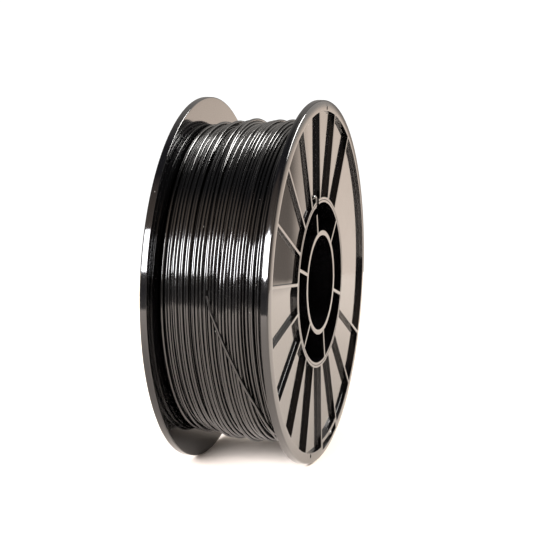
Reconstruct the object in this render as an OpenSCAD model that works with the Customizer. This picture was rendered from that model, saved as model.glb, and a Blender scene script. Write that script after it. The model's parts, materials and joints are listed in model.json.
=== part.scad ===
// Filament spool for a desktop 3D printer, wound full.
//
// Three mouldings and one long strand:
//   - two equal ribbed flanges, the back one turned round to face the other way,
//   - a hollow core: a drum that carries the winding, a bore tube that turns on the
//     printer's spindle, and six webs that tie the two together,
//   - about 330 m of 1.75 mm filament, wound on the drum in full-width layers.
//
// The spin axis is Y, the origin is the middle of the bore and +Z is up.
// The front flange is the one at -Y. Angles are measured in the XZ plane, from +X towards +Z.

/* [Flanges] */
// Diameter of each flange
flange_d = 200; // [196:1:210]
// Thickness of a flange over its ribs, rim and collar
flange_t = 4.5; // [4:0.1:5.5]
// Thickness of the thin web between the ribs
web_t = 2.4; // [2:0.1:2.5]
// Radial width of the thick rim
rim_w = 6; // [5:0.5:7]
// Chamfer along the rim's two outer edges
rim_chamfer = 0.5; // [0.2:0.1:0.8]
// Angle of the first rib after the blank label panel
first_rib_angle = 52; // [51:0.5:53]
// Thickness of a rib
rib_t = 1.8; // [1.2:0.1:2.4]
// Turn of the back flange about the spin axis, against the front one
back_flange_turn = -34; // [-40:1:-28]

/* [Flange details] */
// Diameter of the small holes that a loose filament end is pushed through
end_hole_d = 2.2; // [1.9:0.1:2.6]
// Radius that the end holes lie on
end_hole_r = 95.6; // [95.2:0.1:96]
// Angle of the first end hole
end_hole_angle_1 = 83; // [80:1:86]
// Angle of the second end hole
end_hole_angle_2 = 258; // [255:1:261]
// Inner radius of the parking slot for the filament's free end
slot_inner_r = 92.6; // [92.2:0.1:93]
// Outer radius of the parking slot
slot_outer_r = 96.6; // [96:0.1:97]
// Wall between the parking slot and the pocket beside it
slot_wall = 2.4; // [2:0.1:3]
// Angle between the parking slot's ends and the ribs beside it
slot_end_gap = 1.4; // [1:0.1:2]
// Diameter of the hole that the filament's first end comes out of
start_hole_d = 3.8; // [3.7:0.1:3.9]
// Radius of the start hole's centre
start_hole_r = 49.6; // [49.2:0.1:50]
// Angle of the start hole
start_hole_angle = 105; // [104.5:0.5:105.5]
// Width of the notch in the collar that the first end is tucked into
notch_w = 5; // [4:0.5:6]
// Depth of that notch, from the collar's face
notch_depth = 2.6; // [2.5:0.1:2.8]
// Angle of that notch
notch_angle = 99; // [97:1:101]

/* [Core] */
// Overall width over both flanges
spool_w = 70; // [64:1:74]
// Diameter of the spindle bore
bore_d = 52; // [50:0.5:54]
// Wall thickness of the bore tube
bore_wall = 2.8; // [2.4:0.1:3.2]
// Inside diameter of the drum
drum_inner_d = 88.2; // [87:0.2:89]
// Outside diameter of the drum, between the flanges
drum_d = 94.2; // [94:0.2:95]
// Outside diameter of the two spigots that hold the flanges
spigot_d = 91.2; // [90.8:0.2:91.6]
// Diametral clearance between spigot and flange
spigot_clearance = 0.2; // [0.1:0.1:0.4]
// Angle of the first of the six webs between the bore tube and the drum
core_web_angle = 42; // [40:1:44]
// Thickness of a core web
core_web_t = 2; // [1.6:0.1:2.4]
// Radius that the second web still reaches at the front, where the first end is tucked in
short_web_r = 39.5; // [38:0.5:41]
// Depth of the cut that shortens it, from the front face
web_cut_depth = 9; // [6:0.5:12]

/* [Filament] */
// Diameter of the filament
filament_d = 1.75; // [1.7:0.01:1.78]
// Diameter of the full winding
winding_d = 176; // [175:0.5:176]

/* [Hidden] */
$fn = 180;

// Counts that the moulds and the winding fix.
rib_places = 18; // equally spaced round a flange
label_places = 3; // neighbouring places without a rib
slot_place = 11; // the parking slot follows this rib, counted from the first one
core_webs = 6;
short_web = 2; // the web that is cut short at the front
layers = 23;
turns = 34; // side by side in one layer

// Derived sizes.
flange_r = flange_d / 2;
rim_r = flange_r - rim_w;
winding_w = spool_w - 2 * flange_t;
bore_r = bore_d / 2;
tube_r = bore_r + bore_wall;
drum_inner_r = drum_inner_d / 2;
drum_r = drum_d / 2;
spigot_r = spigot_d / 2;
socket_r = spigot_r + spigot_clearance / 2;
rib_pitch = 360 / rib_places;
rib_count = rib_places - label_places;
slot_start_angle = first_rib_angle + slot_place * rib_pitch + slot_end_gap;
slot_end_angle = first_rib_angle + (slot_place + 1) * rib_pitch - slot_end_gap;
layer_pitch = (winding_d - drum_d) / 2 / layers;
turn_pitch = winding_w / turns;
strand_r = filament_d / 2;
cut = 1; // how far a cutting shape runs past the face that it cuts

// Steps on the crown of each turn in the outermost layer's profile.
crown_steps = 6;
// Sides of a loose strand's section.
strand_sides = 8;
// Rings swept between two neighbouring points of a loose strand's route.
rings_between = 2;

// Routes of the two loose strands: [radius, angle, y] of the centre line.
first_end_route = [
    [49.6, 106.3, -30.8], [49.6, 106.0, -31.6], [49.7, 105.2, -32.7], [49.9, 103.7, -33.6],
    [49.9, 101.8, -34.0], [49.0, 100.0, -34.0], [47.4, 99.2, -33.9], [45.6, 98.8, -33.7],
    [44.2, 98.8, -33.6], [42.9, 99.1, -33.2], [42.1, 99.6, -32.2], [41.7, 100.1, -30.9],
    [41.5, 100.5, -29.4]
];
free_end_route = [
    [88.95, 176, 1.8], [88.95, 182, -1.0], [88.95, 188, -4.2], [88.95, 194, -7.6],
    [88.95, 200, -11.0], [88.95, 206, -14.0], [88.95, 212, -16.6], [88.95, 218, -18.7],
    [88.95, 224, -20.4], [88.95, 230, -22.0], [88.95, 236, -23.5], [88.95, 242, -25.0],
    [88.95, 248, -26.5], [88.95, 252, -27.5], [89.1, 257, -28.6], [89.9, 262, -29.3],
    [91.2, 266.5, -29.55], [92.8, 270.5, -29.6], [94.2, 274.5, -29.6], [94.7, 277.5, -30.5],
    [94.7, 280.5, -31.9], [94.7, 283.5, -33.2], [94.7, 286, -33.8]
];

function pad(number) = number < 10 ? str("0", number) : str(number);
function web_name(i) = str("core_web_", i);
function layer_name(i) = str("filament_layer_", pad(i));

// A tube about Z, from z = 0.
module tube(outer_r, inner_r, height) {
    difference() {
        cylinder(r = outer_r, h = height);
        translate([0, 0, -cut]) cylinder(r = inner_r, h = height + 2 * cut);
    }
}

// The part of a tube about Z between two angles.
module tube_sector(outer_r, inner_r, height, start_angle, end_angle) {
    rotate([0, 0, start_angle])
        rotate_extrude(angle = end_angle - start_angle)
            translate([inner_r, 0]) square([outer_r - inner_r, height]);
}

// Turns a shape that is built up along +Z from a flange's inner face into the spool's frame.
module facing_front() {
    translate([0, -winding_w / 2, 0]) rotate([90, 0, 0]) children();
}
module facing_back() {
    rotate([0, 0, 180]) facing_front() children();
}

// The flange before its pockets and holes: a flat ring with two chamfered outer edges.
module flange_blank() {
    rotate_extrude()
        polygon([
            [socket_r, 0],
            [flange_r - rim_chamfer, 0],
            [flange_r, rim_chamfer],
            [flange_r, flange_t - rim_chamfer],
            [flange_r - rim_chamfer, flange_t],
            [socket_r, flange_t]
        ]);
}

// The pocket between two neighbouring ribs, open outwards and as deep as the web allows.
// The ribs' middle lines lie at start_angle and end_angle.
module pocket(start_angle, end_angle, outer_r) {
    half = (end_angle - start_angle) / 2;
    rotate([0, 0, start_angle + half])
        intersection() {
            translate([0, 0, web_t]) tube(outer_r, drum_r, flange_t);
            translate([rib_t / 2 / sin(half), 0, 0])
                linear_extrude(2 * flange_t)
                    polygon([
                        [0, 0],
                        flange_d * [cos(half), -sin(half)],
                        flange_d * [cos(half), sin(half)]
                    ]);
        }
}

// One flange moulding, lying on its inner face.
module flange() {
    difference() {
        flange_blank();
        for (i = [0:rib_count - 2])
            pocket(first_rib_angle + i * rib_pitch, first_rib_angle + (i + 1) * rib_pitch,
                   i == slot_place ? slot_inner_r - slot_wall : rim_r);
        pocket(first_rib_angle - (label_places + 1) * rib_pitch, first_rib_angle, rim_r);
        for (a = [end_hole_angle_1, end_hole_angle_2])
            rotate([0, 0, a]) translate([end_hole_r, 0, -cut])
                cylinder(d = end_hole_d, h = flange_t + 2 * cut);
        translate([0, 0, -cut])
            tube_sector(slot_outer_r, slot_inner_r, flange_t + 2 * cut,
                        slot_start_angle, slot_end_angle);
        rotate([0, 0, start_hole_angle]) translate([start_hole_r, 0, -cut])
            cylinder(d = start_hole_d, h = web_t + 2 * cut);
        rotate([0, 0, notch_angle])
            translate([socket_r - cut, -notch_w / 2, flange_t - notch_depth])
                cube([drum_r - socket_r + 2 * cut, notch_w, notch_depth + cut]);
    }
}

// The drum: the winding lies on it, and its two thinner ends sit inside the flanges.
module drum() {
    color("#17171a")
        rotate([90, 0, 0]) translate([0, 0, -spool_w / 2])
            difference() {
                union() {
                    cylinder(r = spigot_r, h = spool_w);
                    translate([0, 0, flange_t]) cylinder(r = drum_r, h = winding_w);
                }
                translate([0, 0, -cut]) cylinder(r = drum_inner_r, h = spool_w + 2 * cut);
                rotate([0, 0, notch_angle])
                    translate([drum_inner_r - cut, -notch_w / 2, spool_w - notch_depth])
                        cube([spigot_r - drum_inner_r + 2 * cut, notch_w, notch_depth + cut]);
            }
}

// The tube in the middle that turns on the spindle.
module bore_tube() {
    color("#17171a")
        rotate([90, 0, 0]) translate([0, 0, -spool_w / 2]) tube(tube_r, bore_r, spool_w);
}

// One web between the bore tube and the drum, along the whole width.
module core_web(i) {
    color("#17171a")
        rotate([90, 0, 0]) translate([0, 0, -spool_w / 2])
            rotate([0, 0, core_web_angle + (i - 1) * 360 / core_webs])
                difference() {
                    intersection() {
                        translate([0, -core_web_t / 2, 0])
                            cube([drum_inner_r + cut, core_web_t, spool_w]);
                        cylinder(r = drum_inner_r, h = spool_w);
                    }
                    translate([0, 0, -cut]) cylinder(r = tube_r, h = spool_w + 2 * cut);
                    if (i == short_web)
                        translate([short_web_r, -core_web_t, spool_w - web_cut_depth])
                            cube([drum_inner_r, 2 * core_web_t, web_cut_depth + cut]);
                }
}

module front_flange() {
    color("#1b1b1e") facing_front() flange();
}

module back_flange() {
    color("#1b1b1e") facing_back() rotate([0, 0, back_flange_turn]) flange();
}

// One layer of the winding: a sleeve with the height of one strand.
// The outermost layer shows the rounded crown of every turn.
module filament_layer(i) {
    inner_r = drum_r + (i - 1) * layer_pitch;
    outer_r = inner_r + layer_pitch;
    color("#232326")
        rotate([90, 0, 0]) translate([0, 0, -winding_w / 2])
            if (i < layers) tube(outer_r, inner_r, winding_w);
            else rotate_extrude() polygon(crowned_profile(inner_r, outer_r));
}

// Section of the outermost layer: straight inside, one shallow arch for each turn outside.
function crown_height(s) = sqrt(max(0, strand_r * strand_r - pow((s - 0.5) * turn_pitch, 2)));
function crowned_profile(inner_r, outer_r) = concat(
    [[inner_r, 0]],
    [for (t = [0:turns - 1]) for (k = [t == 0 ? 0 : 1:crown_steps])
        [outer_r - strand_r + crown_height(k / crown_steps), (t + k / crown_steps) * turn_pitch]],
    [[inner_r, winding_w]]
);

// Points of a route in the spool's frame.
function place(p) = [p[0] * cos(p[1]), p[2], p[0] * sin(p[1])];

// A smooth curve through a route's points (Catmull-Rom), a few rings for each point.
function at(route, k) = route[max(0, min(len(route) - 1, k))];
function spline(a, b, c, d, t) =
    0.5 * (2 * b + (c - a) * t + (2 * a - 5 * b + 4 * c - d) * t * t
           + (3 * b - a - 3 * c + d) * t * t * t);
function smooth_route(route) = concat(
    [for (k = [0:len(route) - 2]) for (j = [0:rings_between - 1])
        spline(at(route, k - 1), at(route, k), at(route, k + 1), at(route, k + 2),
               j / rings_between)],
    [route[len(route) - 1]]
);

function unit(v) = v / norm(v);
function heading(points, k) = unit(at(points, k + 1) - at(points, k - 1));
// The ring's first direction points away from the spin axis, as far as the heading allows.
function outward(point, direction) =
    let (away = unit([point[0], 0, point[2]])) unit(away - (away * direction) * direction);
function ring(points, k) =
    let (d = heading(points, k), u = outward(points[k], d), v = cross(d, u))
    [for (s = [0:strand_sides - 1]) let (a = 360 * (s + 0.5) / strand_sides)
        points[k] + strand_r * (cos(a) * u + sin(a) * v)];

// A strand of filament swept along a route, closed at both ends.
module strand(route) {
    points = smooth_route([for (p = route) place(p)]);
    rings = len(points);
    function corner(k, s) = k * strand_sides + s % strand_sides;
    polyhedron(
        points = [for (k = [0:rings - 1]) each ring(points, k)],
        faces = concat(
            [[for (s = [0:strand_sides - 1]) s]],
            [for (k = [0:rings - 2]) for (s = [0:strand_sides - 1])
                [corner(k, s), corner(k + 1, s), corner(k + 1, s + 1), corner(k, s + 1)]],
            [[for (s = [strand_sides - 1:-1:0]) corner(rings - 1, s)]]
        )
    );
}

// The filament's first end, out of the start hole, over the collar and into the core.
module filament_first_end() {
    color("#232326") strand(first_end_route);
}

// The filament's free end, across the last layer to the parking slot in the front flange.
module filament_free_end() {
    color("#232326") strand(free_end_route);
}

front_flange();
back_flange();
drum();
bore_tube();
for (i = [1:core_webs]) core_web(i);
for (i = [1:layers]) filament_layer(i);
filament_first_end();
filament_free_end();
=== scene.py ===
# %% [markdown]
# # A full filament spool
# The frame holds the spool as its makers fix it: two flanges, a hollow core and the wound layers,
# all on one spin axis, Y. This lesson gives each of them its final mesh and finish.
# Sizes come from the frame, so a change there moves everything here with it.

# %% Load the frame
import json
import math

import bmesh
import bpy
import numpy as np
from mathutils import Matrix, Vector


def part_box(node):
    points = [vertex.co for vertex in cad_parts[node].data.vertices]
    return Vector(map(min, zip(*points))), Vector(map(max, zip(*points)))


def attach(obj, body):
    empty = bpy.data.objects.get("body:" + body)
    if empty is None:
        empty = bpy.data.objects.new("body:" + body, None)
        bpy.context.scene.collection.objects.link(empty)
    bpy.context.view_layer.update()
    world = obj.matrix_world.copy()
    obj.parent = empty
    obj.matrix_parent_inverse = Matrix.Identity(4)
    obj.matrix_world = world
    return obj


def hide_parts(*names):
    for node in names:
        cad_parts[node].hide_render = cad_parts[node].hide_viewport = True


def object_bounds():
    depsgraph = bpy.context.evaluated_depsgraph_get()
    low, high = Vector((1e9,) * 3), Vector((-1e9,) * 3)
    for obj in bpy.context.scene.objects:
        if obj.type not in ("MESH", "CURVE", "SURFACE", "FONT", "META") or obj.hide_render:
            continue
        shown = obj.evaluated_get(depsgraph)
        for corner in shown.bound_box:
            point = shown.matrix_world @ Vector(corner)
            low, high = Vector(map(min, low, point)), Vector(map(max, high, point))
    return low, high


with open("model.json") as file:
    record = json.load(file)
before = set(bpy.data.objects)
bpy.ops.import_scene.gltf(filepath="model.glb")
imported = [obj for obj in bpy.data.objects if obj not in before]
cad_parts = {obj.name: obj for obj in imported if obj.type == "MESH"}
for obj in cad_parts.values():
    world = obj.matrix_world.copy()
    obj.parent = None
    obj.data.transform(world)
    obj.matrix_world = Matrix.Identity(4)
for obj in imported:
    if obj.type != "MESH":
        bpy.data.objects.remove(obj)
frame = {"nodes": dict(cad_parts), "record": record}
cad_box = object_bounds()
MM = 0.001
print("nodes", len(frame["nodes"]), "box", [round(c, 4) for c in (*cad_box[0], *cad_box[1])])

# %% Read the driving sizes off the frame
def radius(node):
    """Half of a round node's size across the spin axis."""
    low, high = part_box(node)
    return (high.x - low.x) / 2


flange_low, flange_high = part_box("front_flange")
FLANGE_R = radius("front_flange")
FLANGE_T = flange_high.y - flange_low.y
HALF_W = -flange_low.y
INNER_Y = -flange_high.y
TUBE_R = radius("bore_tube")
DRUM_R = radius("drum")
FLOOR_Z = cad_box[0].z
BORE_R = frame["record"]["mounts"][0]["dims"]["r_mm"] * MM
LAYERS = sorted(n for n in frame["nodes"] if n.startswith("filament_layer_"))
WINDING_R = radius(LAYERS[-1])
WEB_T = 2.4 * MM
print(f"flange r {FLANGE_R:.4f} t {FLANGE_T:.4f}, drum r {DRUM_R:.4f}, {len(LAYERS)} layers")

# %% [markdown]
# ## The camera
# A long lens from a little above, looking mostly at the winding with one flange turned to it.
# The camera comes first, because every later choice of detail depends on what it shows.
# It is level: its only turns are an azimuth and an elevation round an aim point.

# %% Place the camera
AIM = Vector((2.4, -5.1, 5.0)) * MM
AZIMUTH = math.radians(-73.365)
ELEVATION = math.radians(9.859)
DISTANCE = 1.1477
LENS_MM = 137.93

camera_data = bpy.data.cameras.new("camera")
camera_data.lens = LENS_MM
camera_data.sensor_width = 36
camera_data.clip_end = 60
camera = bpy.data.objects.new("camera", camera_data)
backwards = Vector((
    math.sin(AZIMUTH) * math.cos(ELEVATION),
    -math.cos(AZIMUTH) * math.cos(ELEVATION),
    math.sin(ELEVATION),
))
camera.location = AIM + backwards * DISTANCE
camera.rotation_mode = "QUATERNION"
camera.rotation_quaternion = (-backwards).to_track_quat("-Z", "Y")
bpy.context.scene.collection.objects.link(camera)
bpy.context.scene.camera = camera
print("camera at", [round(c, 3) for c in camera.location])

# %% [markdown]
# ## Helpers for finishes
# A finish is a small node tree. These helpers keep each one short: one adds a node and sets its
# inputs, one makes a new material, and one puts a finished mesh into the scene.

# %% Node and object helpers
def add_node(tree, kind, inputs=None, **settings):
    """A node of a kind, with settings and input values or links."""
    node = tree.nodes.new(kind)
    for key, value in settings.items():
        setattr(node, key, value)
    for key, value in (inputs or {}).items():
        if isinstance(value, bpy.types.NodeSocket):
            tree.links.new(value, node.inputs[key])
        else:
            node.inputs[key].default_value = value
    return node


def new_material(name):
    """An empty material with its Principled shader."""
    material = bpy.data.materials.new(name)
    material.use_nodes = True
    shader = material.node_tree.nodes["Principled BSDF"]
    return material, material.node_tree, shader


def place(mesh_or_curve, name, nodes):
    """Puts a finished mesh or curve in the scene, in the place of the frame's nodes."""
    piece = bpy.data.objects.new(name, mesh_or_curve)
    bpy.context.scene.collection.objects.link(piece)
    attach(piece, "root")
    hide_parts(*nodes)
    return piece


print("helpers ready")

# %% [markdown]
# ## Specks and soft-edged masks
# Both finishes carry a few specks of dust, which glossy black shows more than any other surface.
# They could be separate dots, but a Voronoi pattern cut close to its cell centres gives them
# without any mesh. A noise sets each one's size, so most cells have none that can be seen.

# %% Dust and masks
SPECK_COLOUR = (0.25, 0.24, 0.22, 1)
SPECK_CELLS = 95
SPECK_SIZE = 0.05


def dust(tree, where, clean):
    """A base colour with a few pale specks on it."""
    specks = add_node(tree, "ShaderNodeTexVoronoi", {"Vector": where, "Scale": SPECK_CELLS})
    size = add_node(tree, "ShaderNodeTexNoise", {"Vector": where, "Scale": 60})
    edge = add_node(tree, "ShaderNodeMath", {0: size.outputs["Fac"], 1: SPECK_SIZE},
                    operation="MULTIPLY")
    speck = add_node(tree, "ShaderNodeMath", {
        0: specks.outputs["Distance"], 1: edge.outputs["Value"]}, operation="LESS_THAN")
    mix = add_node(tree, "ShaderNodeMix", {"Factor": speck.outputs["Value"]}, data_type="RGBA")
    mix.inputs[6].default_value = clean
    mix.inputs[7].default_value = SPECK_COLOUR
    return mix.outputs[2]


def between(tree, value, low, high, fade):
    """1 where a value lies between low and high, 0 outside, with soft edges."""
    rise = add_node(tree, "ShaderNodeMapRange", {
        "Value": value, "From Min": low - fade, "From Max": low + fade},
        interpolation_type="SMOOTHSTEP")
    fall = add_node(tree, "ShaderNodeMapRange", {
        "Value": value, "From Min": high + fade, "From Max": high - fade},
        interpolation_type="SMOOTHSTEP")
    both = add_node(tree, "ShaderNodeMath", {
        0: rise.outputs["Result"], 1: fall.outputs["Result"]}, operation="MULTIPLY")
    return both.outputs["Value"]


def angle_round_axis(tree, parts):
    """The angle round the spin axis of a point, from its separated coordinates."""
    angle = add_node(tree, "ShaderNodeMath", {0: parts.outputs["Z"], 1: parts.outputs["X"]},
                     operation="ARCTAN2")
    return angle.outputs["Value"]


print("specks", SPECK_CELLS, "cells to the metre")

# %% [markdown]
# ## Glossy black plastic
# The mouldings are black polystyrene straight from a polished mould. Its colour is nearly nothing:
# what the eye reads is the reflection, so the reflection gets the detail. A slow, very shallow bump
# bends it the way sink marks do, a finer one adds flow lines, and fine scuffs roughen it here and
# there. A flat colour with one roughness would look like computer plastic.
# Thin webs also warp as they cool. The front flange's web leans a little in its upper left
# pockets, most near the rim. The lean is far too small to model, but a mirror shows it, so it is
# put into the shading normal there and fades out towards the hub.

# %% Mix the spool plastic
PLASTIC_COLOUR = (0.0022, 0.0022, 0.0026, 1)
PLASTIC_IOR = 1.59
SINK_DEPTH = 0.12 * MM
FLOW_LINE_DEPTH = 0.001 * MM
WARPED_WEB = (math.radians(106), math.radians(172))
WARP = (-0.17, 0.0, 0.05)
WARP_FROM, WARP_TO = -20 * MM, -60 * MM


def warped_web(tree, where):
    """The lean of the warped web: a vector to add to the normal, nothing anywhere else."""
    parts = add_node(tree, "ShaderNodeSeparateXYZ", {"Vector": where})
    round_it = between(tree, angle_round_axis(tree, parts), *WARPED_WEB, math.radians(5))
    web_y = flange_high.y - WEB_T
    web_only = between(tree, parts.outputs["Y"], web_y - 0.2 * MM, web_y + MM, 0.1 * MM)
    outwards = add_node(tree, "ShaderNodeMapRange", {
        "Value": parts.outputs["X"], "From Min": WARP_FROM, "From Max": WARP_TO,
        "To Min": 0.35, "To Max": 1.0})
    share = add_node(tree, "ShaderNodeMath", {0: round_it, 1: web_only}, operation="MULTIPLY")
    amount = add_node(tree, "ShaderNodeMath", {
        0: share.outputs["Value"], 1: outwards.outputs["Result"]}, operation="MULTIPLY")
    lean = add_node(tree, "ShaderNodeVectorMath", {
        0: WARP, "Scale": amount.outputs["Value"]}, operation="SCALE")
    return lean.outputs["Vector"]


def spool_plastic():
    """Glossy black polystyrene with sink marks, flow lines, scuffs and a warped web."""
    material, tree, shader = new_material("spool_plastic")
    shader.inputs["IOR"].default_value = PLASTIC_IOR
    where = add_node(tree, "ShaderNodeTexCoord").outputs["Object"]
    tree.links.new(dust(tree, where, PLASTIC_COLOUR), shader.inputs["Base Color"])
    scuffs = add_node(tree, "ShaderNodeTexNoise", {
        "Vector": where, "Scale": 55, "Detail": 6, "Roughness": 0.65})
    rough = add_node(tree, "ShaderNodeMapRange", {
        "Value": scuffs.outputs["Fac"], "From Min": 0.35, "From Max": 0.75,
        "To Min": 0.05, "To Max": 0.12})
    tree.links.new(rough.outputs["Result"], shader.inputs["Roughness"])
    sink = add_node(tree, "ShaderNodeTexNoise", {
        "Vector": where, "Scale": 26, "Detail": 1.5, "Roughness": 0.4})
    flow = add_node(tree, "ShaderNodeTexNoise", {
        "Vector": where, "Scale": 420, "Detail": 3, "Roughness": 0.55})
    slow = add_node(tree, "ShaderNodeBump", {
        "Height": sink.outputs["Fac"], "Strength": 1.0, "Distance": SINK_DEPTH})
    fine = add_node(tree, "ShaderNodeBump", {
        "Height": flow.outputs["Fac"], "Normal": slow.outputs["Normal"],
        "Strength": 1.0, "Distance": FLOW_LINE_DEPTH})
    leaning = add_node(tree, "ShaderNodeVectorMath", {
        0: fine.outputs["Normal"], 1: warped_web(tree, where)}, operation="ADD")
    unit = add_node(tree, "ShaderNodeVectorMath", {0: leaning.outputs["Vector"]},
                    operation="NORMALIZE")
    tree.links.new(unit.outputs["Vector"], shader.inputs["Normal"])
    return material


PLASTIC = spool_plastic()
print("finish", PLASTIC.name)

# %% [markdown]
# ## Black filament
# Filament is drawn out of a die, so its skin is a little duller than the moulded parts and has
# the faintest lines along the strand. Those lines run round the spool, so the pattern is made in
# polar terms: nearly constant round the axis, quick across it.

# %% Mix the filament
FILAMENT_COLOUR = (0.0018, 0.0018, 0.0019, 1)
FILAMENT_IOR = 1.6
DIE_LINE_DEPTH = 0.003 * MM
ALONG, ACROSS_IT = 1.2, 2600


def filament_finish():
    """Black filament with fine lines from the die along the strand."""
    material, tree, shader = new_material("filament")
    shader.inputs["IOR"].default_value = FILAMENT_IOR
    where = add_node(tree, "ShaderNodeTexCoord").outputs["Object"]
    tree.links.new(dust(tree, where, FILAMENT_COLOUR), shader.inputs["Base Color"])
    parts = add_node(tree, "ShaderNodeSeparateXYZ", {"Vector": where})
    across = add_node(tree, "ShaderNodeVectorMath", {0: where, 1: (1, 0, 1)},
                      operation="MULTIPLY")
    height = add_node(tree, "ShaderNodeVectorMath", {0: across.outputs["Vector"]},
                      operation="LENGTH")
    polar = add_node(tree, "ShaderNodeCombineXYZ", {
        "X": angle_round_axis(tree, parts), "Y": parts.outputs["Y"],
        "Z": height.outputs["Value"]})
    stretched = add_node(tree, "ShaderNodeMapping", {
        "Vector": polar.outputs["Vector"], "Scale": (ALONG, ACROSS_IT, ACROSS_IT)})
    lines = add_node(tree, "ShaderNodeTexNoise", {
        "Vector": stretched.outputs["Vector"], "Scale": 1.0, "Detail": 3})
    patches = add_node(tree, "ShaderNodeTexNoise", {
        "Vector": where, "Scale": 130, "Detail": 4, "Roughness": 0.6})
    rough = add_node(tree, "ShaderNodeMapRange", {
        "Value": patches.outputs["Fac"], "From Min": 0.3, "From Max": 0.7,
        "To Min": 0.09, "To Max": 0.18})
    tree.links.new(rough.outputs["Result"], shader.inputs["Roughness"])
    drawn = add_node(tree, "ShaderNodeBump", {
        "Height": lines.outputs["Fac"], "Strength": 0.2, "Distance": DIE_LINE_DEPTH})
    tree.links.new(drawn.outputs["Normal"], shader.inputs["Normal"])
    return material


FILAMENT = filament_finish()
print("finish", FILAMENT.name)

# %% [markdown]
# ## Spoked rings
# Flange and core are both rings with straight spokes: ribs on the flange, webs in the core. A
# spoke has parallel sides, so it isn't a wedge, and a plain polar grid would bend it. The sheet
# below is a stack of circles joined by bridge_loops. Every vertex of a circle then slides round
# to where its column belongs at that radius, which keeps every spoke's sides straight and gives
# clean quads that extrude and bevel well.

# %% Build a flat sheet of spokes and gaps
class Gap:
    """The space between two spokes: its columns run from one spoke's side to the next one's."""

    def __init__(self, start, end, steps, ends=None):
        self.start, self.end, self.steps, self.ends = start, end, steps, ends

    def angles(self, r, half_t):
        """Angles of the columns at a radius, in radians; ends fixes the second and last but one."""
        lean = math.asin(half_t / r)
        first, last = self.start + lean, self.end - lean
        if self.ends:
            return [first, *np.linspace(*self.ends, self.steps - 1), last]
        return list(np.linspace(first, last, self.steps + 1))


def spoked_sheet(radii, gaps, half_t):
    """A flat ring round Z made of bands between radii; returns it with a map of its faces.

    faces[(band, gap, column)] holds a face; column -1 is the spoke after that gap."""
    sheet = bmesh.new()
    columns = [(g, c) for g, gap in enumerate(gaps) for c in [*range(gap.steps), -1]]
    loops = []
    for r in radii:
        made = bmesh.ops.create_circle(sheet, segments=len(columns), radius=r)
        angles = [a for gap in gaps for a in gap.angles(r, half_t)]
        for vert, a in zip(made["verts"], angles):
            vert.co = (r * math.cos(a), r * math.sin(a), 0)
        loops.append(made["verts"])
    sheet.verts.index_update()
    faces = {}
    for band, (inner, outer) in enumerate(zip(loops, loops[1:])):
        edges = [sheet.edges.get((loop[i - 1], loop[i])) for loop in (inner, outer)
                 for i in range(len(loop))]
        bmesh.ops.bridge_loops(sheet, edges=edges)
        for i, key in enumerate(columns):
            j = (i + 1) % len(columns)
            ring = {inner[i], inner[j], outer[i], outer[j]}
            face = next(f for f in inner[i].link_faces if set(f.verts) == ring)
            faces[(band, *key)] = face
    bmesh.ops.recalc_face_normals(sheet, faces=sheet.faces)
    return sheet, faces


def raise_faces(sheet, faces, height):
    """Extrudes faces as one region along +Z and returns the faces on top."""
    edges = list(dict.fromkeys(e for f in faces for e in f.edges))
    made = bmesh.ops.extrude_face_region(sheet, geom=[*faces, *edges])["geom"]
    bmesh.ops.translate(sheet, vec=(0, 0, height),
                        verts=[v for v in made if isinstance(v, bmesh.types.BMVert)])
    return [f for f in made if isinstance(f, bmesh.types.BMFace)]


def soften(sheet, width, segments=2, sharper_than=30):
    """Rounds every edge sharper than an angle: bevels outside, fillets in the corners."""
    limit = math.radians(sharper_than)
    edges = [e for e in sheet.edges if len(e.link_faces) == 2 and e.calc_face_angle(0) > limit]
    bmesh.ops.bevel(sheet, geom=edges, offset=width, offset_type="OFFSET", segments=segments,
                    profile=0.5, affect="EDGES", clamp_overlap=True, material=-1)
    return len(edges)


print("spoked sheet ready")

# %% [markdown]
# ## The flanges
# A flange is a thin web stiffened by radial ribs, with a thick rim and a collar, and a blank
# panel where three ribs are left out. It is built the way its mould is cut: one slab, with the
# pockets pushed down into its outer face and the parking slot going right through. The rim's
# outer face falls away a little and ends in a round corner, which is what catches the light.

# %% Flange dimensions
RIM_R = FLANGE_R - 6 * MM
SOCKET_R = 45.7 * MM
RIB_HALF_T = 0.9 * MM
RIB_PITCH = math.radians(20)
FIRST_RIB = math.radians(52)
RIBS = 15
SLOT_GAP = 11
SLOT_ENDS = (math.radians(273.4), math.radians(290.6))
SLOT_R = (92.6 * MM, 96.6 * MM)
SLOT_WALL = 2.4 * MM
BACK_TURN = math.radians(-34)
RIM_FALL = 0.4 * MM
OUTER_ROUND = 1.0 * MM
INNER_ROUND = 0.55 * MM
FILLET = 0.25 * MM
GAP_STEPS = 16
PANEL_STEPS = 64


def flange_gaps():
    """The fourteen pockets between the ribs, and the wide panel that closes the circle."""
    gaps = []
    for i in range(RIBS - 1):
        start = FIRST_RIB + i * RIB_PITCH
        ends = SLOT_ENDS if i == SLOT_GAP else None
        gaps.append(Gap(start, start + RIB_PITCH, GAP_STEPS, ends))
    panel_start = FIRST_RIB + (RIBS - 1) * RIB_PITCH
    gaps.append(Gap(panel_start, FIRST_RIB + 2 * math.pi, PANEL_STEPS))
    return gaps


print("gaps in a flange", len(flange_gaps()), "rim from", round(RIM_R / MM, 1), "mm")


# %% Cut one flange
def middle_of(face):
    """Where a face's middle lies in the sheet's plane, rounded so that it can be looked up."""
    middle = face.calc_center_median()
    return round(middle.x, 6), round(middle.y, 6)


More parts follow.
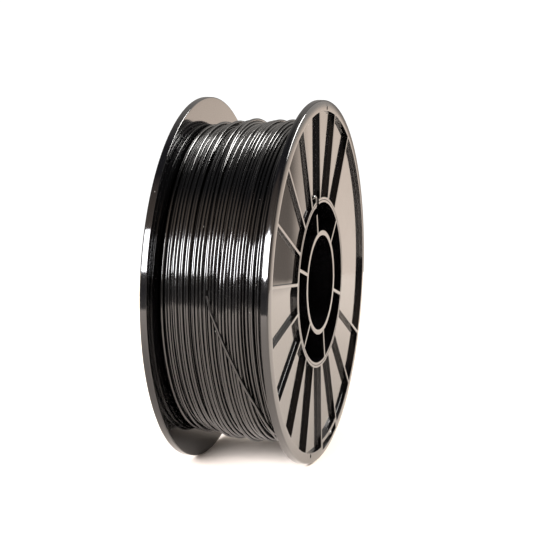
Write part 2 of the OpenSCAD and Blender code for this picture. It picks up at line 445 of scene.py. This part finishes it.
def round_rim(sheet):
    """Lets the rim's face fall towards its edge, and rounds the rim's two corners."""
    corners = [e for e in sheet.edges if e.calc_face_angle(0) > 1
               and all(v.co.xy.length > FLANGE_R - 0.01 * MM for v in e.verts)]
    outer_corner = [e for e in corners if e.verts[0].co.z > FLANGE_T / 2]
    inner_corner = [e for e in corners if e.verts[0].co.z < FLANGE_T / 2]
    for vert in {v for e in outer_corner for v in e.verts}:
        vert.co.z -= RIM_FALL
    for edges, width, segments in ((outer_corner, OUTER_ROUND, 8), (inner_corner, INNER_ROUND, 4)):
        bmesh.ops.bevel(sheet, geom=edges, offset=width, offset_type="OFFSET", segments=segments,
                        profile=0.5, affect="EDGES", clamp_overlap=True, material=-1)


def flange_mesh():
    """One flange lying on its inner face, ribs up, as a bmesh."""
    inner_bands = list(np.linspace(DRUM_R, SLOT_R[0] - SLOT_WALL, 6))
    radii = [SOCKET_R, *inner_bands, SLOT_R[0], RIM_R, SLOT_R[1], FLANGE_R]
    wall_band = len(inner_bands)
    sheet, faces = spoked_sheet(radii, flange_gaps(), RIB_HALF_T)
    slot_bands = (wall_band + 1, wall_band + 2)
    slot_faces = [faces.pop((b, SLOT_GAP, c)) for b in slot_bands
                  for c in range(1, GAP_STEPS - 1)]
    bmesh.ops.delete(sheet, geom=slot_faces, context="FACES")

    pocket_middles = set()
    for (band, gap, column), face in faces.items():
        deep = column >= 0 and 1 <= band <= wall_band + 1
        beside_slot = gap == SLOT_GAP and band >= wall_band
        if deep and not beside_slot:
            pocket_middles.add(middle_of(face))
    top = raise_faces(sheet, sheet.faces[:], FLANGE_T)
    bmesh.ops.recalc_face_normals(sheet, faces=sheet.faces)
    floors = [f for f in top if middle_of(f) in pocket_middles]
    raise_faces(sheet, floors, WEB_T - FLANGE_T)
    round_rim(sheet)
    rounded = soften(sheet, FILLET)
    bmesh.ops.recalc_face_normals(sheet, faces=sheet.faces)
    print("flange pockets", len(floors), "edges rounded", rounded, "faces", len(sheet.faces))
    return sheet


print("one rib is", round(2 * RIB_HALF_T / MM, 1), "mm thick, a web", round(WEB_T / MM, 1))

# %% [markdown]
# ## Holes and notches
# Two end holes in the rim, a start hole by the hub and a notch in the collar are cut last, as on
# a real mould insert. A Boolean modifier with a plain cutter is the right tool, because they
# don't line up with the sheet's columns. Cutting them out of the grid would bend its quads.

# %% Cutters and moulding finish
def cutter_pin(r, angle, pin_r, depth):
    """A round cutter at a polar place, from below the sheet to above it."""
    pin = bmesh.new()
    bmesh.ops.create_cone(pin, cap_ends=True, segments=24, radius1=pin_r, radius2=pin_r,
                          depth=depth)
    bmesh.ops.translate(pin, vec=(r * math.cos(angle), r * math.sin(angle), 0), verts=pin.verts)
    return pin


def cutter_block(r_range, angle, width, z_range):
    """A square cutter across a ring at an angle."""
    block = bmesh.new()
    bmesh.ops.create_cube(block, size=1)
    size = (r_range[1] - r_range[0], width, z_range[1] - z_range[0])
    bmesh.ops.scale(block, vec=size, verts=block.verts)
    middle = (sum(r_range) / 2, 0, sum(z_range) / 2)
    bmesh.ops.translate(block, vec=middle, verts=block.verts)
    bmesh.ops.rotate(block, cent=(0, 0, 0), matrix=Matrix.Rotation(angle, 3, "Z"),
                     verts=block.verts)
    return block


def cut_away(blank, cutters):
    """Subtracts cutters from a bmesh and returns a mesh."""
    mesh = bpy.data.meshes.new("blank")
    blank.to_mesh(mesh)
    blank.free()
    body = bpy.data.objects.new("blank", mesh)
    bpy.context.scene.collection.objects.link(body)
    tools = []
    for cutter in cutters:
        tool_mesh = bpy.data.meshes.new("cutter")
        cutter.to_mesh(tool_mesh)
        cutter.free()
        tool = bpy.data.objects.new("cutter", tool_mesh)
        bpy.context.scene.collection.objects.link(tool)
        tools.append(tool)
        change = body.modifiers.new("cut", "BOOLEAN")
        change.operation = "DIFFERENCE"
        change.solver = "EXACT"
        change.object = tool
    ready = body.evaluated_get(bpy.context.evaluated_depsgraph_get())
    result = bpy.data.meshes.new_from_object(ready)
    for used in [body, *tools]:
        bpy.data.objects.remove(used)
    return result


def smooth_shade(mesh, sharper_than=30):
    """Smooth faces with sharp edges kept where they meet at a real corner."""
    work = bmesh.new()
    work.from_mesh(mesh)
    limit = math.radians(sharper_than)
    for face in work.faces:
        face.smooth = True
    for edge in work.edges:
        edge.smooth = len(edge.link_faces) == 2 and edge.calc_face_angle(0) < limit
    work.to_mesh(mesh)
    work.free()


def finish_moulding(mesh, name, nodes):
    """Shades a moulding, gives it its plastic and puts it in place."""
    smooth_shade(mesh)
    piece = place(mesh, name, nodes)
    mesh.materials.clear()
    mesh.materials.append(PLASTIC)
    weights = piece.modifiers.new("flat_faces_stay_flat", "WEIGHTED_NORMAL")
    weights.keep_sharp = True
    weights.weight = 100


print("cutters ready")

# %% [markdown]
# ## Two flanges from one mould
# Both flanges come out of the same mould, so the mesh is made once and copied. The front one
# turns its ribs to -Y and the back one to +Y, set at another angle round the core.

# %% Drill, smooth and place the flanges
END_HOLES = ((95.6 * MM, math.radians(83)), (95.6 * MM, math.radians(258)))
END_HOLE_R = 1.1 * MM
START_HOLE = (49.6 * MM, math.radians(105))
START_HOLE_R = 1.9 * MM
NOTCH_ANGLE = math.radians(99)
NOTCH_W = 5 * MM
NOTCH_DEPTH = 2.6 * MM

through = 3 * FLANGE_T
flange_cutters = [cutter_pin(r, a, END_HOLE_R, through) for r, a in END_HOLES]
flange_cutters.append(cutter_pin(*START_HOLE, START_HOLE_R, through))
flange_cutters.append(cutter_block((SOCKET_R - MM, DRUM_R + MM), NOTCH_ANGLE, NOTCH_W,
                                   (FLANGE_T - NOTCH_DEPTH, FLANGE_T + MM)))
front_mesh = cut_away(flange_mesh(), flange_cutters)
facing_front = Matrix.Translation((0, -INNER_Y, 0)) @ Matrix.Rotation(math.pi / 2, 4, "X")
facing_back = Matrix.Rotation(math.pi, 4, "Z") @ facing_front @ Matrix.Rotation(BACK_TURN, 4, "Z")
back_mesh = front_mesh.copy()
front_mesh.transform(facing_front)
back_mesh.transform(facing_back)
finish_moulding(front_mesh, "front_flange_moulding", ["front_flange"])
finish_moulding(back_mesh, "back_flange_moulding", ["back_flange"])
print("flange triangles", sum(len(p.vertices) - 2 for p in front_mesh.polygons))

# %% [markdown]
# ## The core
# Drum, bore tube and webs come out of one mould, so they are one mesh here. The same spoked
# sheet makes it: the webs are the spokes, and the six spaces between them are simply taken out
# before the sheet is raised to the spool's full width. The drum steps out to its full radius
# between the flanges, which leaves the two thinner spigots that the flanges sit on.

# %% Mould the core
SPIGOT_R = 45.6 * MM
DRUM_INNER_R = 44.1 * MM
WEB_HALF_T = 1.0 * MM
CORE_WEBS = 6
CORE_WEB_ANGLE = math.radians(42)
SHORT_WEB_R = 39.5 * MM
SHORT_WEB_CUT = 9 * MM
SHOULDER = 0.05 * MM
SPACE_STEPS = 28
NEAR = 0.001 * MM
CORE_NODES = ["drum", "bore_tube", *(f"core_web_{i + 1}" for i in range(CORE_WEBS))]


def core_mesh():
    """The core standing on its back end, as a bmesh."""
    pitch = 2 * math.pi / CORE_WEBS
    gaps = [Gap(CORE_WEB_ANGLE + i * pitch, CORE_WEB_ANGLE + (i + 1) * pitch, SPACE_STEPS)
            for i in range(CORE_WEBS)]
    radii = [BORE_R, TUBE_R, DRUM_INNER_R, SPIGOT_R]
    sheet, faces = spoked_sheet(radii, gaps, WEB_HALF_T)
    spaces = [f for (band, _, column), f in faces.items() if band == 1 and column >= 0]
    bmesh.ops.delete(sheet, geom=spaces, context="FACES")
    top = sheet.faces[:]
    steps = [FLANGE_T - SHOULDER, SHOULDER, 2 * INNER_Y, SHOULDER, FLANGE_T - SHOULDER]
    levels = np.cumsum(steps)
    for step in steps:
        top = raise_faces(sheet, top, step)
    low, high = levels[1] - SHOULDER / 2, levels[2] + SHOULDER / 2
    for vert in sheet.verts:
        if low < vert.co.z < high and vert.co.xy.length > SPIGOT_R - 0.1 * MM:
            vert.co.xy *= DRUM_R / vert.co.xy.length
    bmesh.ops.recalc_face_normals(sheet, faces=sheet.faces)

    def on_an_end(edge):
        return any(all(abs(v.co.z - z) < NEAR for v in edge.verts) for z in (0, levels[-1]))

    ends = [e for e in sheet.edges if e.calc_face_angle(0) > math.radians(30) and on_an_end(e)]
    bmesh.ops.bevel(sheet, geom=ends, offset=FILLET, offset_type="OFFSET", segments=2,
                    profile=0.5, affect="EDGES", clamp_overlap=True, material=-1)
    bmesh.ops.recalc_face_normals(sheet, faces=sheet.faces)
    return sheet


top_z = 2 * HALF_W
core_cutters = [
    cutter_block((SHORT_WEB_R, DRUM_INNER_R - 0.02 * MM), CORE_WEB_ANGLE + math.pi / 3,
                 4 * WEB_HALF_T, (top_z - SHORT_WEB_CUT, top_z + MM)),
    cutter_block((DRUM_INNER_R - MM, SPIGOT_R + MM), NOTCH_ANGLE, NOTCH_W,
                 (top_z - NOTCH_DEPTH, top_z + MM)),
]
core = cut_away(core_mesh(), core_cutters)
core.transform(Matrix.Translation((0, HALF_W, 0)) @ Matrix.Rotation(math.pi / 2, 4, "X"))
finish_moulding(core, "core_moulding", CORE_NODES)
print("core faces", len(core.polygons))

# %% [markdown]
# ## The winding
# The strand is one helix that walks to and fro over the drum. Most layers are hidden, so they
# only need their real number of turns: an even helix each, slightly lumpy where crossings pile up.
# A curve with a round bevel is the light way to make a strand, because its path stays editable
# and its section is a circle everywhere. The three outer layers come later, on top of these.

# %% Winding dimensions
STRAND_R = 1.75 * MM / 2
TURNS = 34
STATIONS = 120
HIDDEN_STATIONS = 48
HIDDEN_SIDES = 6
TRACK = INNER_Y - STRAND_R - 0.05 * MM
WOUND_LAYERS = 3
WOUND_PITCH = 2.3 * MM
HIDDEN_LAYERS = len(LAYERS) - WOUND_LAYERS
LAYER_PITCH = (WINDING_R - DRUM_R - WOUND_LAYERS * WOUND_PITCH) / HIDDEN_LAYERS
LUMPS = [
    # length across, waves round, phase, height
    (21 * MM, 1, 0.4, 0.18 * MM), (34 * MM, 2, 2.1, 0.18 * MM), (13 * MM, 3, 5.0, 0.10 * MM),
    (47 * MM, 1, 3.3, 0.15 * MM),
]


def lumps(y, angle):
    """Height of the winding's slow lumps, where many crossings lie over each other."""
    return sum(height * np.sin(2 * math.pi * y / across + turn * angle + phase)
               for across, turn, phase, height in LUMPS)


def even_layer(level, stations):
    """Y, radius and angle along a hidden layer: an even helix on the lumps below it."""
    k = np.arange(TURNS * stations + 1) / stations
    direction = -1 if level % 2 else 1
    y = direction * (-TRACK + k / TURNS * 2 * TRACK)
    angle = 2 * math.pi * k
    share = (level + 1) / len(LAYERS)
    return y, DRUM_R + (level + 0.5) * LAYER_PITCH + share * lumps(y, angle), angle


print("hidden layers", HIDDEN_LAYERS, "pitch", round(LAYER_PITCH / MM, 3), "mm")


# %% Lay the hidden layers
def strand_curve(name, y, r, angle, sides):
    """A tube with closed ends along a path round the Y axis, as a curve with a round bevel."""
    curve = bpy.data.curves.new(name, "CURVE")
    curve.dimensions = "3D"
    curve.bevel_depth = STRAND_R
    curve.bevel_resolution = (sides - 4) // 2
    curve.use_fill_caps = True
    spline = curve.splines.new("POLY")
    spline.points.add(len(y) - 1)
    points = np.stack([r * np.cos(angle), y, r * np.sin(angle), np.ones_like(r)], 1)
    spline.points.foreach_set("co", points.ravel())
    spline.use_smooth = True
    curve.materials.append(FILAMENT)
    return curve


def length_of(y, r, angle):
    """Length of a path round the Y axis."""
    points = np.stack([r * np.cos(angle), y, r * np.sin(angle)], 1)
    return np.linalg.norm(np.diff(points, axis=0), axis=1).sum()


strand_length = 0
for level, node in enumerate(LAYERS[:HIDDEN_LAYERS]):
    y, r, angle = even_layer(level, HIDDEN_STATIONS)
    layer = strand_curve(f"wound_layer_{level + 1:02d}", y, r, angle, HIDDEN_SIDES)
    place(layer, layer.name, [node])
    strand_length += length_of(y, r, angle)
print("hidden strand", round(strand_length, 1), "m")

# %% [markdown]
# ## How a winder lays the outer layers
# The outer layers show, and their look comes from how a winder works: the traverse never moves
# quite evenly, each turn slides into a groove of the layer below until the traverse pulls it out
# over the next strand, and the stiff strand bridges small dips. Drawing that by hand would look
# drawn, so the layers are wound by that rule. The winding so far is kept as a height map of the
# spool: a row for each station round it, and a cell for each small step across it.

# %% Rest a strand on the surface
CELL = 0.1 * MM
ACROSS = np.arange(-INNER_Y, INNER_Y + CELL / 2, CELL)
CELLS_ASIDE = math.ceil(STRAND_R / CELL)
COVER = np.arange(-CELLS_ASIDE, CELLS_ASIDE + 1)


def resting(surface, station, y):
    """Radius at which a strand's centre rests at y, its cells, and its crown over them."""
    middle = np.round((y + INNER_Y) / CELL).astype(int)
    cells = np.clip(middle[..., None] + COVER, 0, len(ACROSS) - 1)
    gap = np.abs(ACROSS[cells] - y[..., None])
    crown = np.sqrt(np.maximum(STRAND_R ** 2 - gap ** 2, 0))
    under = np.where(gap < STRAND_R, surface[station[..., None], cells] + crown, 0)
    return under.max(-1), cells, crown


def cover(surface, station, y, r):
    """Raises the surface to the top of a strand."""
    _, cells, crown = resting(surface, station, y)
    top = np.where(crown > 0, r[..., None] + crown, 0)
    np.maximum.at(surface, (station[..., None], cells), top)


print("height map", STATIONS, "by", len(ACROSS), "cells")

# %% Uneven feed and a stiff strand
rng = np.random.default_rng(11)
WAVES = 24
WAVES_PER_TURN = 0.9
BRIDGE_REACH = 8


def averaged(line, window):
    """A line with each sample replaced by the mean of a window round it."""
    padded = np.pad(line, window // 2, mode="edge")
    return np.convolve(padded, np.ones(window) / window, mode="valid")


def slow_noise(count, waves, amplitude):
    """A smooth random line over count samples, made of a few slow waves."""
    t = np.arange(count) / count
    line = np.zeros(count)
    for _ in range(WAVES):
        height = rng.normal()
        speed = rng.uniform(0.15, 1) * waves
        line += height * np.sin(2 * math.pi * (speed * t + rng.random()))
    return amplitude * line / math.sqrt(WAVES / 2)


def bridged(r):
    """Heights of a stiff strand over its supports: it bulges over dips and rounds off steps."""
    turn_angle = 2 * math.pi / STATIONS
    padded = np.pad(r, BRIDGE_REACH, mode="edge")
    arcs = [padded[BRIDGE_REACH + s:BRIDGE_REACH + s + len(r)]
            - 0.5 * DRUM_R * (s * turn_angle) ** 2
            for s in range(-BRIDGE_REACH, BRIDGE_REACH + 1)]
    return averaged(np.max(arcs, axis=0), 5)


print("a support lifts the strand for", BRIDGE_REACH, "stations each way")

# %% Wind one layer over the surface
PROBE = np.array([-0.2, 0.2]) * MM
GROOVE_PULL = 0.055 * MM
GUIDE_PULL = 0.05
INERTIA = 0.72


def wind_layer(surface, turns, places, unevenness, limits):
    """Lays a strand whose guide is at places after turns; returns its Y and radius.

    At each station the strand slides down the slope it lies on, is pulled back towards the
    guide, and keeps most of its drift. A turn is laid and raised onto the map before the next."""
    count = round(turns[-1] * STATIONS)
    k = np.arange(count)
    settle = np.clip((count - k) / STATIONS, 0, 1)
    wander = slow_noise(count, turns[-1] * WAVES_PER_TURN, unevenness) * settle
    guide = np.clip(np.interp(k / STATIONS, turns, places) + wander, *limits)
    y, r = np.empty(count), np.empty(count)
    here, drift = guide[0], 0.0
    for first in range(0, count, STATIONS):
        turn = np.arange(first, min(first + STATIONS, count))
        for at in turn:
            station = np.array([at % STATIONS] * 2)
            low, high = resting(surface, station, here + PROBE)[0]
            slope = np.clip((high - low) / (PROBE[1] - PROBE[0]), -1, 1)
            pull = -GROOVE_PULL * slope + GUIDE_PULL * (guide[at] - here)
            drift = INERTIA * drift + (1 - INERTIA) * pull
            fed = guide[at] - guide[max(at - 1, 0)]
            here = float(np.clip(here + drift + fed, *limits))
            y[at] = here
        span = np.arange(max(0, first - STATIONS // 4), turn[-1] + 1)
        r[turn] = resting(surface, turn % STATIONS, y[turn])[0]
        r[turn] = bridged(r[span])[len(span) - len(turn):]
        cover(surface, turn % STATIONS, y[turn], r[turn])
    return y, averaged(r, 7)


def refined(y, r, split):
    """Y, radius and angle of a laid strand, with each step between stations split in some."""
    k = np.arange(len(y))
    fine = np.linspace(0, len(y) - 1, (len(y) - 1) * split + 1)
    smooth = [np.interp(fine, k, line) for line in (y, r)]
    if split > 1:
        smooth = [averaged(line, 5) for line in smooth]
    return *smooth, 2 * math.pi * fine / STATIONS


print("pull into a groove", round(GROOVE_PULL / MM, 3), "mm, towards the guide", GUIDE_PULL)

# %% [markdown]
# ## The outer layers
# Three layers are wound, each by its own run of the guide. The last one stops short of the back
# flange: the spool was full before it got there. Its last half turn leads back towards the
# front, to where the free end starts. The top two get each step between stations split in two,
# and the topmost has the roundest strand, because those two show the most.

# %% Wind the outer layers
LAST_STOP = 9.5 * MM
LAST_TURN_OUT = 21.7
FREE_START_Y = 1.8 * MM
FREE_START_TURN = 22 + 176 / 360
BACK_LIMIT = TRACK - 1.3 * MM
LIMITS = (-TRACK, BACK_LIMIT)
RUNS = [
    # turns, the guide's places after them, unevenness, split of each step, sides
    ((0, TURNS), (-TRACK, BACK_LIMIT), 0.3 * MM, 1, 10),
    ((0, TURNS), (BACK_LIMIT, -TRACK), 0.4 * MM, 2, 10),
    ((0, LAST_TURN_OUT, FREE_START_TURN), (-TRACK, LAST_STOP, FREE_START_Y), 0.45 * MM, 2, 12),
]
y, r, angle = even_layer(HIDDEN_LAYERS - 1, STATIONS)
surface = np.full((STATIONS, len(ACROSS)), DRUM_R)
cover(surface, np.arange(len(y)) % STATIONS, y, r)
for level, (turns, places, unevenness, split, sides) in enumerate(RUNS, HIDDEN_LAYERS):
    y, r = wind_layer(surface, turns, places, unevenness, LIMITS)
    layer = strand_curve(f"wound_layer_{level + 1:02d}", *refined(y, r, split), sides)
    place(layer, layer.name, [LAYERS[level]])
    strand_length += length_of(*refined(y, r, 1))
    print(layer.name, "mean radius", round(r.mean() * 1000, 2), "mm, from",
          round(r.min() * 1000, 2), "to", round(r.max() * 1000, 2))
last_y, last_r = y[-1], r[-1]
print("whole strand", round(strand_length, 1), "m, stops at", round(last_y * 1000, 2))

# %% [markdown]
# ## The two loose ends
# The first end comes out of a hole in the flange, bends over the collar and is tucked into the
# core. The free end carries on from the last turn, crosses the winding and is parked in the slot
# in the rim. Both follow the frame's routes; where the free end lies on the winding, it takes its
# height from the strands under it.

# %% Lay the two ends
FIRST_END = [
    (49.6, 106.3, -30.8), (49.6, 106.0, -31.6), (49.7, 105.2, -32.7), (49.9, 103.7, -33.6),
    (49.9, 101.8, -34.0), (49.0, 100.0, -34.0), (47.4, 99.2, -33.9), (45.6, 98.8, -33.7),
    (44.2, 98.8, -33.6), (42.9, 99.1, -33.2), (42.1, 99.6, -32.2), (41.7, 100.1, -30.9),
    (41.5, 100.5, -29.4),
]
FREE_END = [
    (88.95, 176, 1.8), (88.95, 182, -1.0), (88.95, 188, -4.2), (88.95, 194, -7.6),
    (88.95, 200, -11.0), (88.95, 206, -14.0), (88.95, 212, -16.6), (88.95, 218, -18.7),
    (88.95, 224, -20.4), (88.95, 230, -22.0), (88.95, 236, -23.5), (88.95, 242, -25.0),
    (88.95, 248, -26.5), (88.95, 252, -27.5), (89.1, 257, -28.6), (89.9, 262, -29.3),
    (91.2, 266.5, -29.55), (92.8, 270.5, -29.6), (94.2, 274.5, -29.6), (94.7, 277.5, -30.5),
    (94.7, 280.5, -31.9), (94.7, 283.5, -33.2), (94.7, 286, -33.8),
]
LEAVES_WINDING = 252
END_SIDES = 12


def on_the_winding(route):
    """Lowers the part of a route that lies on the winding onto the strands under it."""
    lying = [p for p in route if p[1] <= LEAVES_WINDING]
    rest = route[len(lying):]
    angles = np.radians([a for _, a, _ in lying])
    station = np.round(angles / (2 * math.pi) * STATIONS).astype(int) % STATIONS
    y = np.array([y for _, _, y in lying]) * MM
    near = [resting(surface, (station + s) % STATIONS, y)[0] for s in (-1, 0, 1)]
    r = averaged(np.max(near, axis=0), 3)
    r[0] = last_r
    y[0] = last_y
    lowered = list(zip(r / MM, np.degrees(angles), y / MM))
    return lowered + rest


def smooth_path(route, samples=6):
    """A curve through the points of a route (radius, angle, y), with a few samples for each."""
    points = np.array([(r * MM * math.cos(math.radians(a)), y * MM,
                        r * MM * math.sin(math.radians(a))) for r, a, y in route])
    ends = np.vstack([2 * points[0] - points[1], points, 2 * points[-1] - points[-2]])
    path = []
    for a, b, c, d in zip(ends, ends[1:], ends[2:], ends[3:]):
        for t in np.arange(samples) / samples:
            path.append(0.5 * (2 * b + (c - a) * t + (2 * a - 5 * b + 4 * c - d) * t ** 2
                               + (3 * b - a - 3 * c + d) * t ** 3))
    path.append(points[-1])
    return np.array(path)


def end_curve(name, path):
    """A loose end of the strand as a round tube with closed ends."""
    r = np.hypot(path[:, 0], path[:, 2])
    angle = np.arctan2(path[:, 2], path[:, 0])
    return strand_curve(name, path[:, 1], r, angle, END_SIDES)


for name, node, route in (
        ("first_end_strand", "filament_first_end", FIRST_END),
        ("free_end_strand", "filament_free_end", on_the_winding(FREE_END))):
    path = smooth_path(route)
    place(end_curve(name, path), name, [node])
    print(name, round(np.linalg.norm(np.diff(path, axis=0), axis=1).sum() * 1000, 1), "mm")

# %% [markdown]
# ## The floor
# A plain pale floor. It is a disc and not an endless plane, because the flange's face mirrors
# the ground behind the spool: past the disc's edge it mirrors the room instead, which can be
# given the right brightness.

# %% Lay the floor
FLOOR_R = 0.6
FLOOR_COLOUR = (0.92, 0.83, 0.75, 1)


def stage_floor():
    """A pale, dull disc under the spool."""
    material, tree, shader = new_material("pale_floor")
    shader.inputs["Base Color"].default_value = FLOOR_COLOUR
    shader.inputs["Roughness"].default_value = 0.9
    shader.inputs["Specular IOR Level"].default_value = 0.1
    floor = bmesh.new()
    bmesh.ops.create_circle(floor, cap_ends=True, segments=96, radius=FLOOR_R)
    bmesh.ops.translate(floor, vec=(0, 0, FLOOR_Z), verts=floor.verts)
    mesh = bpy.data.meshes.new("floor")
    floor.to_mesh(mesh)
    floor.free()
    mesh.materials.append(material)
    piece = bpy.data.objects.new("floor", mesh)
    bpy.context.scene.collection.objects.link(piece)


stage_floor()
print("floor radius", FLOOR_R, "m, height", round(FLOOR_Z, 4), "m")

# %% [markdown]
# ## Two soft lights
# Glossy black shows nothing but its surroundings, so each light is set by what should mirror it.
# The window stands low in front: the flat rims and the middle of the winding mirror it. The
# overhead one hangs past the top, towards the back, and far to the side: the top of the winding
# mirrors it and the flat rims don't. Both face the spin axis squarely and are slid along it, so
# their edges stay parallel to the axis.

# %% Hang the lights
def soft_light(name, degrees, aside, distance, width, height, radiance, colour):
    """A rectangular soft light over the spin axis, at an angle from the front horizon (0) over
    the top to the back one (180), slid aside along the axis, with a given brightness of its face."""
    data = bpy.data.lights.new(name, "AREA")
    data.shape = "RECTANGLE"
    data.size, data.size_y = width, height
    data.energy = radiance * math.pi * width * height
    data.color = colour
    lamp = bpy.data.objects.new(name, data)
    a = math.radians(degrees)
    facing = Vector((-math.cos(a), 0, math.sin(a)))
    lamp.location = facing * distance + Vector((0, aside, 0))
    lamp.rotation_mode = "QUATERNION"
    lamp.rotation_quaternion = facing.to_track_quat("Z", "Y")
    lamp.visible_camera = False
    bpy.context.scene.collection.objects.link(lamp)


soft_light("window", 24, 0.5, 1.6, 1.0, 0.72, 44, (0.97, 0.97, 1.0))
soft_light("overhead", 132, -1.15, 1.5, 1.2, 0.5, 38, (1.0, 0.98, 0.95))

# %% [markdown]
# ## The room
# The rest of what the spool mirrors is a painted room, made in the world's own nodes: a colour
# ramp that runs once round the spin axis. In front, a warm wall stands above the window and a
# dark strip runs overhead; behind, a bright backdrop starts just below the horizon, where the
# flange's flat face looks. To the sides of what the flat faces mirror, the room is dimmer, which
# darkens every face that leans away. The camera itself sees plain white paper.

# %% Paint the room
ROOM = [
    # turn from overhead: 1/4 is the horizon behind, 1/2 straight down, 3/4 the horizon in front
    (0.02, (0.12, 0.12, 0.13)), (0.12, (1.8, 1.7, 1.6)), (0.253, (0.9, 0.84, 0.78)),
    (0.263, (1.95, 1.62, 1.37)), (0.278, (2.35, 2.0, 1.74)), (0.48, (2.35, 2.0, 1.74)),
    (0.5, (0.9, 0.75, 0.63)), (0.7, (1.8, 1.65, 1.55)), (0.75, (0.5, 0.47, 0.46)),
    (0.86, (2.2, 1.75, 1.4)), (0.93, (1.3, 1.0, 0.8)), (0.96, (0.12, 0.12, 0.13)),
]
BRIGHT_BEHIND, BRIGHT_IN_FRONT = 0.36, 0.62
BRIGHT_WITHIN, DIM_BEYOND, DIM = 0.1, 0.2, 0.35
PAPER = 1.1


def room_colour(tree, ray_parts):
    """The room's colour for the turn of a ray round the spin axis."""
    down = add_node(tree, "ShaderNodeMath", {0: ray_parts.outputs["Z"], 1: -1.0},
                    operation="MULTIPLY")
    over = add_node(tree, "ShaderNodeMath", {
        0: ray_parts.outputs["X"], 1: down.outputs["Value"]}, operation="ARCTAN2")
    share = add_node(tree, "ShaderNodeMapRange", {
        "Value": over.outputs["Value"], "From Min": math.pi, "From Max": -math.pi})
    ramp = add_node(tree, "ShaderNodeValToRGB", {"Fac": share.outputs["Result"]})
    stops = ramp.color_ramp.elements
    stops[0].position, stops[1].position = ROOM[0][0], ROOM[-1][0]
    for position, _ in ROOM[1:-1]:
        stops.new(position)
    for stop, (_, colour) in zip(stops, ROOM):
        stop.color = (*colour, 1)
    return ramp.outputs["Color"]


def room_strength(tree, ray_parts):
    """1 for the rays that the flat faces mirror, less to both sides of them."""
    centre = add_node(tree, "ShaderNodeMapRange", {
        "Value": ray_parts.outputs["X"], "From Min": -0.2, "From Max": 0.2,
        "To Min": BRIGHT_IN_FRONT, "To Max": BRIGHT_BEHIND})
    aside = add_node(tree, "ShaderNodeMath", {
        0: ray_parts.outputs["Y"], 1: centre.outputs["Result"]}, operation="ADD")
    off = add_node(tree, "ShaderNodeMath", {0: aside.outputs["Value"]}, operation="ABSOLUTE")
    beam = add_node(tree, "ShaderNodeMapRange", {
        "Value": off.outputs["Value"], "From Min": BRIGHT_WITHIN, "From Max": DIM_BEYOND,
        "To Min": 1.0, "To Max": DIM}, interpolation_type="SMOOTHSTEP")
    return beam.outputs["Result"]


world = bpy.data.worlds.new("studio")
bpy.context.scene.world = world
world.use_nodes = True
tree = world.node_tree
tree.nodes.clear()
ray = add_node(tree, "ShaderNodeTexCoord").outputs["Generated"]
ray_parts = add_node(tree, "ShaderNodeSeparateXYZ", {"Vector": ray})
room = add_node(tree, "ShaderNodeBackground", {
    "Color": room_colour(tree, ray_parts), "Strength": room_strength(tree, ray_parts)})
paper = add_node(tree, "ShaderNodeBackground", {"Color": (1, 1, 1, 1), "Strength": PAPER})
seen = add_node(tree, "ShaderNodeLightPath").outputs["Is Camera Ray"]
mixed = add_node(tree, "ShaderNodeMixShader", {
    0: seen, 1: room.outputs["Background"], 2: paper.outputs["Background"]})
add_node(tree, "ShaderNodeOutputWorld", {"Surface": mixed.outputs["Shader"]})
bpy.context.scene.view_settings.view_transform = "Standard"
print("room stops", len(ROOM))

# %% [markdown]
# ## Bring the scene up to date
# The finished model has to stay inside the frame's own box; this cell only brings the scene up to
# date.

# %% Update the scene
bpy.context.view_layer.update()
